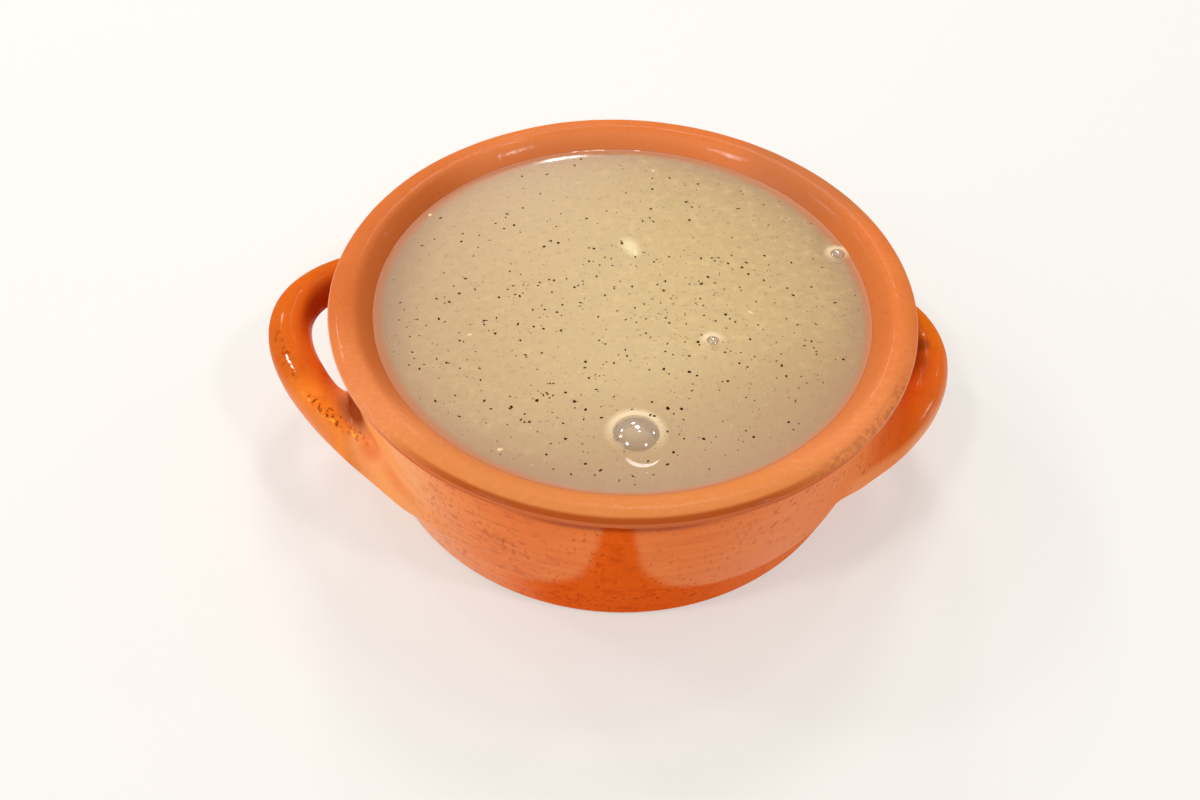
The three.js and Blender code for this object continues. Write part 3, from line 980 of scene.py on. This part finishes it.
    # the cream of the foam fleck runs out into the soup behind it
    cloud = addNode(tree, "Mapping", {
        "vector_type": "TEXTURE", "Location": (0.0014, 0.0192, soupLevel * mm),
        "Rotation": (0, 0, radians(28)), "Scale": (0.0034, 0.0058, 0.004)}, {"Vector": place})
    cloudReach = addNode(tree, "VectorMath", {"operation": "LENGTH"}, {0: cloud})
    cloudShare = addNode(tree, "MapRange", {"interpolation_type": "SMOOTHSTEP", 1: 1.0, 2: 0.2, 4: 0.85},
                         {0: cloudReach})
    # the rings round the bubbles: painted light
    withLitRing = addNode(tree, "Mix", {"data_type": "RGBA", 7: hexColour("#f0d8ac")}, {0: litRing, 6: edgeColour})
    covered = paintLayers(tree, withLitRing, [
        (cloudShare, 1.0, "#ecd7a2"), (under, 0.4, "#aa8e70")])

    grainy = addNode(tree, "MapRange", {3: 0.3, 4: 0.5}, {0: curdle})
    # and where it wets the wall at the back left it is smooth too
    wet = addNode(tree, "Math", {"operation": "MULTIPLY"}, {0: share["wetPlace"], 1: share["wetStart"]})
    wet = addNode(tree, "Math", {"operation": "MULTIPLY"}, {0: wet, 1: share["wetEnd"]})
    smooth = joinMasks(tree, smooth, wet)
    for x, y, reach in wetBeads:
        gap = addNode(tree, "VectorMath", {"operation": "DISTANCE", 1: (x * mm, y * mm, 0)}, {0: flat})
        bead = addNode(tree, "MapRange", {1: reach * mm, 2: reach / 2 * mm}, {0: gap})
        smooth = joinMasks(tree, smooth, bead)
    roughness = addNode(tree, "Mix", {3: 0.1}, {0: smooth, 2: grainy})
    bumpDepth = addNode(tree, "Math", {"operation": "MULTIPLY_ADD", 1: -0.17, 2: 0.2}, {0: smooth})
    bump = addNode(tree, "Bump", {"Distance": 0.1 * mm}, {"Height": curdle, "Strength": bumpDepth})
    linkInputs(tree, shader, {"Base Color": covered, "Roughness": roughness, "Normal": bump})
    return material


# The stronger of two masks. The first may still be a plain number.
def joinMasks(tree, first, second):
    if isinstance(first, float):
        return second
    return addNode(tree, "Math", {"operation": "MAXIMUM"}, {0: first, 1: second})


def soupFilm():
    # A thin film of soup round air: clear, greyish, with small lamp glints
    material, tree, shader = newMaterial("soupFilm", {
        "Base Color": hexColour("#e8dcdc"), "Roughness": 0.09, "Metallic": 0.85})
    rim = addNode(tree, "LayerWeight", {"Blend": 0.35})
    seen = addNode(tree, "MapRange", {3: 0.05, 4: 0.35}, {0: rim.outputs["Fresnel"]})
    linkInputs(tree, shader, {"Alpha": seen})
    return material


# Three small things share one make, a fine grain that runs from one tone to another
grainedStuff = {
    # fine froth: almost white cream, soft and dull
    "creamFoam": {"shine": {"Roughness": 0.45, "IOR": 1.36}, "grain": 400,
                  "tones": [(0.3, "#e8cf9a"), (0.7, "#f0dcac")]},
    # ground brown skin of the nut: nearly black flakes, a little wet
    "walnutSkin": {"shine": {"Roughness": 0.7, "Specular IOR Level": 0.05}, "grain": 420,
                   "tones": [(0.4, "#241004"), (0.52, "#4a2c12"), (0.66, "#8a6438")]},
    # pale crumbs of the nut's flesh
    "nutCrumb": {"shine": {"Roughness": 0.5, "IOR": 1.4}, "grain": 300,
                 "tones": [(0.35, "#d6ba88"), (0.65, "#ecd6a8")]},
}


def grainedMaterial(name):
    stuff = grainedStuff[name]
    material, tree, shader = newMaterial(name, stuff["shine"])
    place = addNode(tree, "TexCoord").outputs["Object"]
    grain = addNode(tree, "TexNoise", {"Scale": stuff["grain"], "Detail": 2}, {"Vector": place})
    tone = addNode(tree, "ValToRGB", links={0: grain}, stops=stuff["tones"])
    linkInputs(tree, shader, {"Base Color": tone})
    return material


dress(bowl, glazedEarthenware())
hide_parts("bowl")
dress(soup, thickWalnutSoup())
film = soupFilm()
for piece in films:
    dress(piece, film)
dress(foam, grainedMaterial("creamFoam"))
dress(specks, grainedMaterial("walnutSkin"))
dress(motes, grainedMaterial("nutCrumb"))
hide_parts("soup")
print("materials made")


# Floor, lights and camera

# The table is overexposed, so part of its white is its own light, and shadows on it are faint
floorSizes = {"width": 4.0, "colour": "#bcb9b5", "glowColour": "#f8f9f6", "glow": 0.43}
skyLight = {"back": 0.4, "front": 0.42, "left": 0.1, "up": 0.0, "mirrored": 0.35, "tint": "#fff9f2"}

# Lamps: where each hangs, as degrees round from the back and up from the floor, and its size in metres
lamps = {
    "main": {"round": 4, "up": 53, "away": 1.3, "size": 0.26, "watts": 3.18},
    "backLow": {"round": -7.5, "up": 34.5, "away": 1.5, "size": 0.17, "watts": 2.0},
    "backHigh": {"round": 24, "up": 67, "away": 1.5, "size": 0.12, "watts": 1.4},
    "left": {"round": -51.5, "up": 38, "away": 1.5, "size": 0.1, "watts": 1.85},
    "right": {"round": 54.7, "up": 28, "away": 1.5, "size": 0.1, "watts": 0.9},
    "frontLeft": {"round": -126, "up": 56, "away": 1.5, "size": 0.16, "watts": 3.9},
    "frontRight": {"round": 119, "up": 51, "away": 1.5, "size": 0.14, "watts": 3.4},
    "leftGlint": {"round": -75, "up": 42, "away": 1.5, "size": 0.18, "watts": 2.4},
    "rightGlint": {"round": 81, "up": 17.4, "away": 1.5, "size": 0.12, "watts": 0.7},
    "leftFill": {"round": -114, "up": 24, "away": 1.3, "size": 1.0, "watts": 2.6},
}

view = {"place": (0, -0.19203, 0.22516), "lens": 29.912, "sensor": 36,
        "down": 47.893, "aside": 1.0086, "up": -6.698, "roll": 2.7657}


def makeFloor():
    floor = addPrimitive(bpy.ops.mesh.primitive_plane_add, size=floorSizes["width"], location=(0, 0, 0))
    floor.name = "Floor"
    material, tree, shader = newMaterial("paintedTable", {
        "Base Color": hexColour(floorSizes["colour"]), "Roughness": 0.9, "Specular IOR Level": 0.0,
        "Emission Color": hexColour(floorSizes["glowColour"]), "Emission Strength": floorSizes["glow"]})
    floor.data.materials.append(material)


def makeLights():
    world = bpy.data.worlds.new("softRoom")
    bpy.context.scene.world = world
    world.use_nodes = True
    tree = world.node_tree
    tree.nodes.clear()
    # Generated is the direction into the sky here: brighter to the back, to the left and above
    direction = addNode(tree, "SeparateXYZ", links={0: addNode(tree, "TexCoord").outputs["Generated"]})
    frontToBack = addNode(tree, "MapRange", {1: -1, 2: 1, 3: skyLight["front"], 4: skyLight["back"]},
                          {0: direction.outputs["Y"]})
    withLeft = addNode(tree, "Math", {"operation": "MULTIPLY_ADD", 1: -skyLight["left"]},
                       {0: direction.outputs["X"], 2: frontToBack})
    withHeight = addNode(tree, "Math", {"operation": "MULTIPLY_ADD", 1: skyLight["up"]},
                         {0: direction.outputs["Z"], 2: withLeft})
    mirrored = addNode(tree, "LightPath").outputs["Is Glossy Ray"]  # the room is darker than its lamps
    dimming = addNode(tree, "MapRange", {3: 1.0, 4: skyLight["mirrored"]}, {0: mirrored})
    strength = addNode(tree, "Math", {"operation": "MULTIPLY"}, {0: withHeight, 1: dimming})
    background = addNode(tree, "Background", {"Color": hexColour(skyLight["tint"])},
                         {"Strength": strength})
    addNode(tree, "OutputWorld", links={"Surface": background})
    for name, lamp in lamps.items():
        turn, up = radians(lamp["round"]), radians(lamp["up"])
        direction = Vector((sin(turn) * cos(up), cos(turn) * cos(up), sin(up)))
        bpy.ops.object.light_add(type="AREA", location=direction * lamp["away"])
        light = bpy.context.object
        light.name = name
        light.rotation_euler = direction.to_track_quat("Z", "Y").to_euler()
        light.data.shape = "DISK"
        light.data.size = lamp["size"]
        light.data.energy = lamp["watts"]


def makeCamera():
    bpy.ops.object.camera_add()
    camera = bpy.context.object
    turn = (Matrix.Rotation(radians(view["down"]), 4, "X") @ Matrix.Rotation(radians(view["aside"]), 4, "Y")
            @ Matrix.Rotation(radians(view["up"]), 4, "X") @ Matrix.Rotation(radians(view["roll"]), 4, "Z"))
    camera.matrix_world = Matrix.Translation(view["place"]) @ turn
    camera.data.lens = view["lens"]
    camera.data.sensor_width = view["sensor"]
    camera.data.clip_start = 0.005
    bpy.context.scene.camera = camera
    bpy.context.scene.view_settings.view_transform = "Standard"


makeFloor()
makeLights()
makeCamera()
print("floor, lights and camera set")
